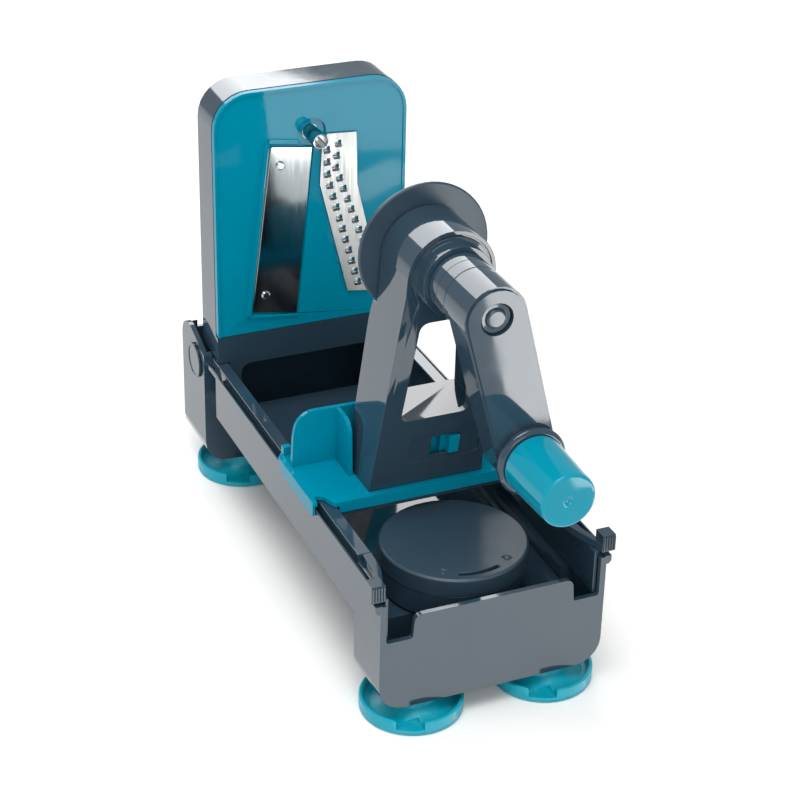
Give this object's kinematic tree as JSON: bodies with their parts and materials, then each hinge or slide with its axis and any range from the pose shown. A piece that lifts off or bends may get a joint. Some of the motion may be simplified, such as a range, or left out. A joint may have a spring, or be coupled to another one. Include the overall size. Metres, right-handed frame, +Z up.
{
  "type": "spiral slicer",
  "caption": "Table-top spiral slicer: a long tray on suction feet, a sliding carriage with a crank tower and food disc, and an upright cassette of blades.",
  "frame": {"origin": "centre of the bounding box, at the table plane under the suction feet", "axes": "+Y from the crank end to the blade end, +Z up, +X to the right seen from the crank"},
  "size_m": [0.1316, 0.3294, 0.2472],
  "materials": {
    "slate_plastic": "glossy injection moulded",
    "teal_plastic": "glossy injection moulded",
    "teal_rubber": "smooth silicone",
    "bright_steel": "bright rolled",
    "bush_plastic": "plain moulded"
  },
  "bodies": {
    "base": {"tray": "slate_plastic", "side_rail_left": "slate_plastic", "side_rail_right": "slate_plastic", "ear_cap_left": "slate_plastic", "ear_cap_right": "slate_plastic", "foot_front_left": "teal_rubber", "foot_front_right": "teal_rubber", "foot_rear_left": "teal_rubber", "foot_rear_right": "teal_rubber", "storage_cup": "slate_plastic"},
    "cup_lid": {"cup_lid": "slate_plastic"},
    "release_arm_left": {"release_arm_left": "slate_plastic"},
    "release_arm_right": {"release_arm_right": "slate_plastic"},
    "cassette": {"blade_housing": "slate_plastic", "blade_plate": "teal_plastic", "blade_rivet_1": "bright_steel", "blade_rivet_2": "bright_steel", "straight_blade": "bright_steel", "toothed_strip": "bright_steel", "coring_tube": "bright_steel"},
    "carriage": {"carriage": "teal_plastic", "slide_keeper": "slate_plastic", "keeper_screw_1": "bright_steel", "keeper_screw_2": "bright_steel", "keeper_screw_3": "bright_steel", "keeper_screw_4": "bright_steel", "tower": "slate_plastic", "front_bush": "bush_plastic", "rear_bush": "bush_plastic"},
    "latch": {"tower_latch": "teal_plastic"},
    "crank": {"crank_shaft": "bright_steel", "shaft_screw": "bright_steel", "food_disc": "slate_plastic", "crank_sleeve": "slate_plastic", "crank_arm": "slate_plastic", "crank_cap": "slate_plastic", "knob_flange": "slate_plastic", "knob_axle": "bright_steel"},
    "knob": {"knob": "teal_plastic"}
  },
  "joints": [
    {"name": "carriage_slide", "type": "slide", "parent": "base", "child": "carriage", "axis": [0, 1, 0], "range_m": [-0.044, 0.108]},
    {"name": "crank_turn", "type": "hinge", "parent": "carriage", "child": "crank", "pos_m": [0, -0.08, 0.2123], "axis": [0, 1, 0], "continuous": true},
    {"name": "knob_spin", "type": "hinge", "parent": "crank", "child": "knob", "pos_m": [0.02066, -0.14, 0.13356], "axis": [0, 1, 0], "continuous": true},
    {"name": "latch_slide", "type": "slide", "parent": "carriage", "child": "latch", "axis": [1, 0, 0], "range_m": [-0.0085, 0]},
    {"name": "cassette_lift", "type": "slide", "parent": "base", "child": "cassette", "axis": [0, 0, 1], "range_m": [0, 0.12]},
    {"name": "lid_twist", "type": "hinge", "parent": "base", "child": "cup_lid", "pos_m": [0, -0.0848, 0.066], "axis": [0, 0, 1], "range_deg": [0, 40]},
    {"name": "left_arm_press", "type": "slide", "parent": "base", "child": "release_arm_left", "axis": [1, 0, 0], "range_m": [0, 0.002], "stiffness_N_per_m": 400},
    {"name": "right_arm_press", "type": "slide", "parent": "base", "child": "release_arm_right", "axis": [-1, 0, 0], "range_m": [0, 0.002], "stiffness_N_per_m": 400}
  ]
}
